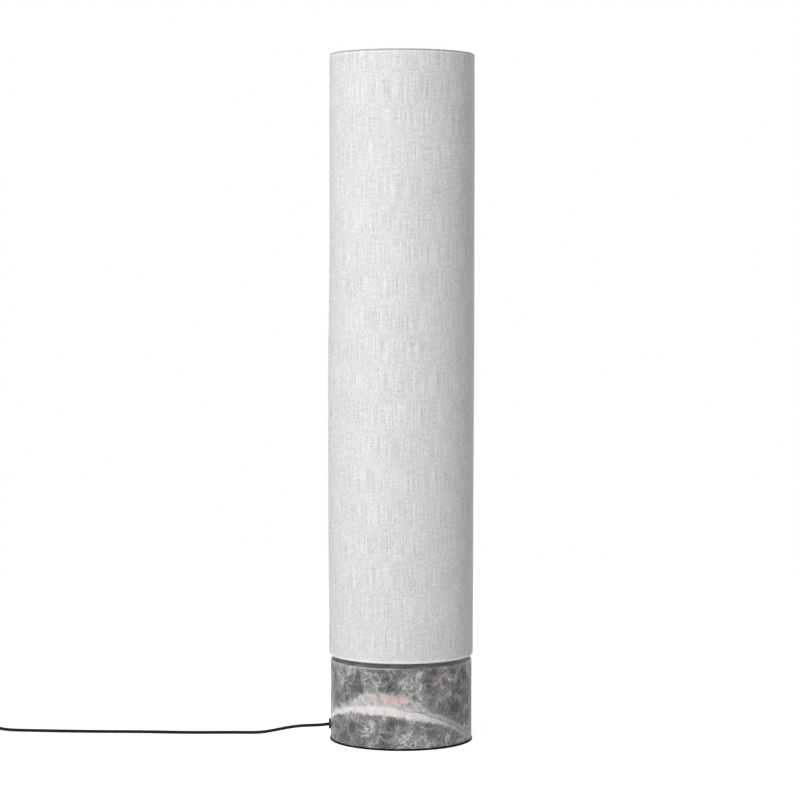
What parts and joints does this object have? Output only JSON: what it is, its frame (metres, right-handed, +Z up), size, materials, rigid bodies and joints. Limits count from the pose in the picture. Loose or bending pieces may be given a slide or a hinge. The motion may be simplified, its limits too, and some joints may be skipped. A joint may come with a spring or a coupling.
{
  "type": "column floor lamp",
  "caption": "Floor lamp as one tall column: round marble drum foot, slim shadow gap, lift-off cylindrical linen shade, inner stem with lampholders, black cord with foot switch.",
  "frame": {"origin": "centre of the underside of the foot, without the cord", "axes": "+Z up along the column; the cord leaves the foot towards -X; +Y is the back"},
  "size_m": [1.03, 0.252, 1.2],
  "materials": {
    "marble": "polished grey marble with pale veins",
    "pad_foam": "black closed-cell pad",
    "zinc_steel": "zinc plated",
    "black_steel": "black powder coat",
    "white_steel": "white powder coat",
    "brass": "plain brass",
    "linen": "light grey heathered linen",
    "shade_lining": "white lining",
    "white_plastic": "moulded, satin",
    "black_plastic": "moulded, fine grain",
    "cord_sheath": "black round sheath",
    "ceramic": "white steatite",
    "opal": "opal diffuser",
    "nickel": "nickel plated",
    "wire_sheath": "white wire insulation",
    "spring_steel": "spring wire",
    "block_plastic": "natural nylon"
  },
  "bodies": {
    "lamp": {"base_plate": "black_steel", "coil_tie": "black_plastic", "contact_discs": "ceramic", "cord_coil": "cord_sheath", "cord_gland": "black_plastic", "cord_grip": "block_plastic", "cord_tail": "cord_sheath", "foot_pad": "pad_foam", "gallery_tips": "white_plastic", "grip_screws": "zinc_steel", "holder_bracket_1": "white_steel", "holder_bracket_2": "white_steel", "holder_bracket_3": "white_steel", "holder_leads": "wire_sheath", "holder_nipples": "zinc_steel", "holder_nuts": "zinc_steel", "inner_cord": "cord_sheath", "lampholder_cap_1": "white_plastic", "lampholder_cap_2": "white_plastic", "lampholder_cap_3": "white_plastic", "lampholder_skirt_1": "white_plastic", "lampholder_skirt_2": "white_plastic", "lampholder_skirt_3": "white_plastic", "lower_gallery": "white_steel", "mains_cord": "cord_sheath", "plate_screws": "zinc_steel", "plug_body": "black_plastic", "plug_pins": "nickel", "screw_shells": "brass", "seat_nut": "zinc_steel", "stem_flange": "white_steel", "stem_nut": "zinc_steel", "stem_rod": "zinc_steel", "stem_tube_1": "white_steel", "stem_tube_2": "white_steel", "stem_tube_3": "white_steel", "stem_tube_4": "white_steel", "stem_washer": "zinc_steel", "stem_wire": "wire_sheath", "stone_base": "marble", "switch_base": "black_plastic", "switch_core": "block_plastic", "switch_cover": "black_plastic", "switch_reliefs": "black_plastic", "switch_screws": "zinc_steel", "switch_spring": "spring_steel", "terminal_block": "block_plastic"},
    "shade": {"shade_cover": "linen", "shade_liner": "shade_lining", "top_ring": "white_steel", "bottom_ring": "white_steel"},
    "thumb_nut": {"thumb_nut": "brass"},
    "switch_button": {"switch_button": "black_plastic"},
    "bulb_1": {"bulb_cap_1": "nickel", "bulb_globe_1": "opal"},
    "bulb_2": {"bulb_cap_2": "nickel", "bulb_globe_2": "opal"},
    "bulb_3": {"bulb_cap_3": "nickel", "bulb_globe_3": "opal"}
  },
  "joints": [
    {"name": "shade_lift", "type": "slide", "parent": "lamp", "child": "shade", "axis": [0, 0, 1], "range_m": [0, 1.1]},
    {"name": "thumb_nut_turn", "type": "hinge", "parent": "shade", "child": "thumb_nut", "pos_m": [0, 0, 1.1745], "axis": [0, 0, 1], "continuous": true},
    {"name": "switch_press", "type": "slide", "parent": "lamp", "child": "switch_button", "axis": [0, 0, -1], "range_m": [0, 0.003], "stiffness_N_per_m": 400, "springref_m": -0.001, "deforming": ["switch_spring"]},
    {"name": "bulb_1_turn", "type": "hinge", "parent": "lamp", "child": "bulb_1", "pos_m": [0.045, 0, 0.325], "axis": [0, 0, 1], "continuous": true},
    {"name": "bulb_2_turn", "type": "hinge", "parent": "lamp", "child": "bulb_2", "pos_m": [-0.045, 0, 0.628], "axis": [0, 0, 1], "continuous": true},
    {"name": "bulb_3_turn", "type": "hinge", "parent": "lamp", "child": "bulb_3", "pos_m": [0.045, 0, 0.931], "axis": [0, 0, 1], "continuous": true}
  ]
}
